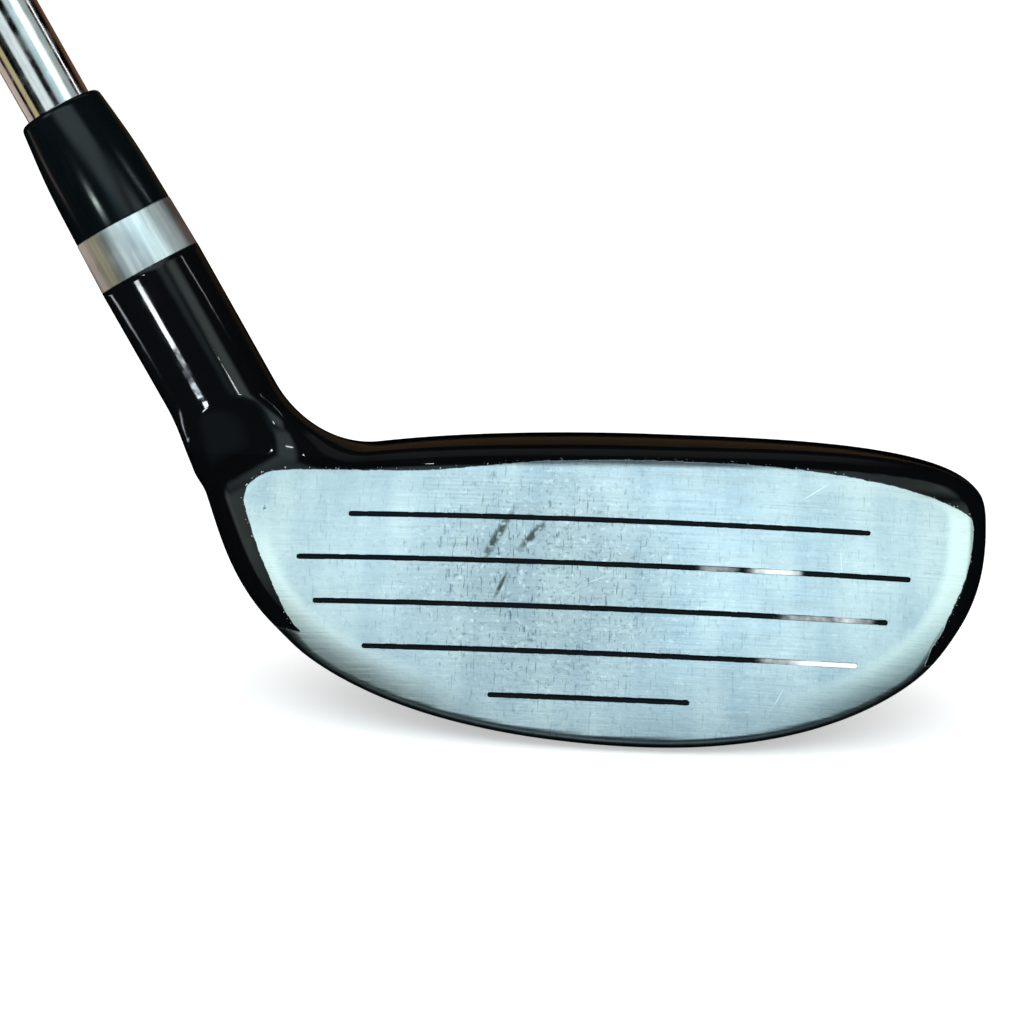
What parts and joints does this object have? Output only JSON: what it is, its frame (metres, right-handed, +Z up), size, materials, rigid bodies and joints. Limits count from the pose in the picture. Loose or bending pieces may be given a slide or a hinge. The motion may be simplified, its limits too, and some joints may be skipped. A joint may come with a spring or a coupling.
{
  "type": "hybrid golf club",
  "caption": "Left-handed hybrid golf club at address: hollow steel head with a bare face, black painted crown and hosel, stepped chrome shaft and tapered rubber grip.",
  "frame": {"origin": "middle of the small flat on the sole that touches the ground at address", "axes": "+X from heel to toe, +Z up from the ground at the 60 degree lie, the face looks along -Y"},
  "size_m": [0.6023, 0.0599, 0.886],
  "materials": {
    "black_paint": "gloss black paint over cast steel",
    "satin_steel": "fine horizontal satin grain",
    "sole_steel": "bare ground steel with turf scuffs",
    "tungsten": "machined flush",
    "resin": "set hot-melt resin",
    "line_paint": "dark paint fill, worn in places",
    "band_steel": "bright satin band",
    "ferrule_plastic": "polished black plastic",
    "epoxy": "cured adhesive",
    "shaft_chrome": "bright chrome plate",
    "plug_brass": "turned brass",
    "label_vinyl": "plain vinyl band, no lettering",
    "tape": "double-sided paper tape",
    "grip_rubber": "textured black rubber",
    "cap_rubber": "smooth harder black rubber"
  },
  "bodies": {
    "root": {"head_body": "black_paint", "face_plate": "satin_steel", "crown_plate": "black_paint", "sole_plate": "sole_steel", "weight_plug": "tungsten", "damping_resin": "resin", "line_fill_1": "line_paint", "line_fill_2": "line_paint", "line_fill_3": "line_paint", "line_fill_4": "line_paint", "line_fill_5": "line_paint", "hosel_band": "band_steel", "ferrule": "ferrule_plastic", "hosel_epoxy": "epoxy", "shaft": "shaft_chrome", "tip_plug": "plug_brass", "shaft_label": "label_vinyl", "grip_tape": "tape", "grip_sleeve": "grip_rubber", "grip_cap": "cap_rubber"}
  },
  "joints": []
}
